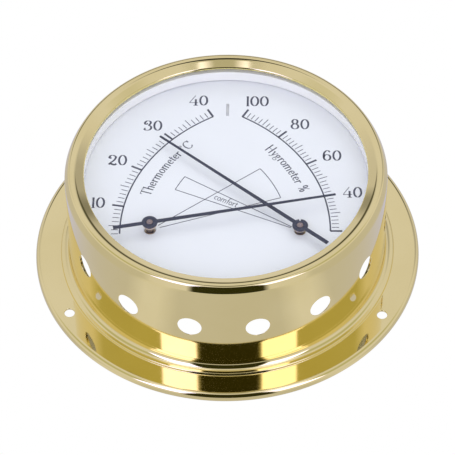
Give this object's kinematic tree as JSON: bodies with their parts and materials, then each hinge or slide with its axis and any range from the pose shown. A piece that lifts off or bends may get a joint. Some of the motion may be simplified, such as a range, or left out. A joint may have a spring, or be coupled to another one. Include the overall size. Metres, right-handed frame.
{
  "type": "dial hygrometer",
  "caption": "Ship's-style brass wall instrument: hygrometer and thermometer pointers over one white dial, vented drum case on a screw-on flange.",
  "frame": {"origin": "middle of the mounting face at the back of the flange", "axes": "+Z out through the dial, +Y towards 12 o'clock, +X towards 3 o'clock"},
  "size_m": [0.12, 0.12, 0.0402],
  "materials": {
    "polished_brass": "mirror polished, lacquered",
    "machined_brass": "fine turned",
    "copper_alloy": "turned copper alloy",
    "bright_steel": "bright",
    "black_steel": "satin black",
    "pointer_black": "satin blue-black",
    "bimetal": "rolled strip",
    "humidity_strip": "coated strip",
    "dial_white": "printed white lacquer",
    "spacer_white": "moulded matt",
    "clear_glass": "clear polished"
  },
  "bodies": {
    "root": {"case": "polished_brass", "glass": "clear_glass", "spacer_ring": "spacer_white", "dial_plate": "dial_white", "retaining_ring": "bright_steel", "thermo_bridge": "black_steel", "thermo_nut_left": "machined_brass", "thermo_nut_right": "machined_brass", "thermo_front_bushing": "machined_brass", "thermo_rear_bushing": "machined_brass", "hygro_bridge": "black_steel", "hygro_nut_left": "machined_brass", "hygro_nut_right": "machined_brass", "hygro_front_bushing": "machined_brass", "hygro_rear_bushing": "machined_brass"},
    "thermo_adjuster": {"thermo_calibration_lever": "machined_brass", "thermo_coil": "bimetal"},
    "thermo_indicator": {"thermo_pointer": "pointer_black", "thermo_hub": "bright_steel", "thermo_spindle": "copper_alloy", "thermo_collet": "machined_brass"},
    "hygro_adjuster": {"hygro_calibration_lever": "machined_brass", "hygro_coil": "humidity_strip"},
    "hygro_indicator": {"hygro_pointer": "pointer_black", "hygro_hub": "bright_steel", "hygro_spindle": "copper_alloy", "hygro_collet": "machined_brass"}
  },
  "joints": [
    {"name": "thermo_calibration", "type": "hinge", "parent": "root", "child": "thermo_adjuster", "pos_m": [0.02267, -0.01917, 0.018], "axis": [0, 0, 1], "range_deg": [-4, 4]},
    {"name": "thermo_reading", "type": "hinge", "parent": "thermo_adjuster", "child": "thermo_indicator", "pos_m": [0.02267, -0.01917, 0.035], "axis": [0, 0, 1], "range_deg": [-42, 31], "stiffness_Nm_per_rad": 0.0008},
    {"name": "hygro_calibration", "type": "hinge", "parent": "root", "child": "hygro_adjuster", "pos_m": [-0.02267, -0.01917, 0.018], "axis": [0, 0, 1], "range_deg": [-4, 4]},
    {"name": "hygro_reading", "type": "hinge", "parent": "hygro_adjuster", "child": "hygro_indicator", "pos_m": [-0.02267, -0.01917, 0.036], "axis": [0, 0, 1], "range_deg": [-14, 60], "stiffness_Nm_per_rad": 0.0008}
  ]
}
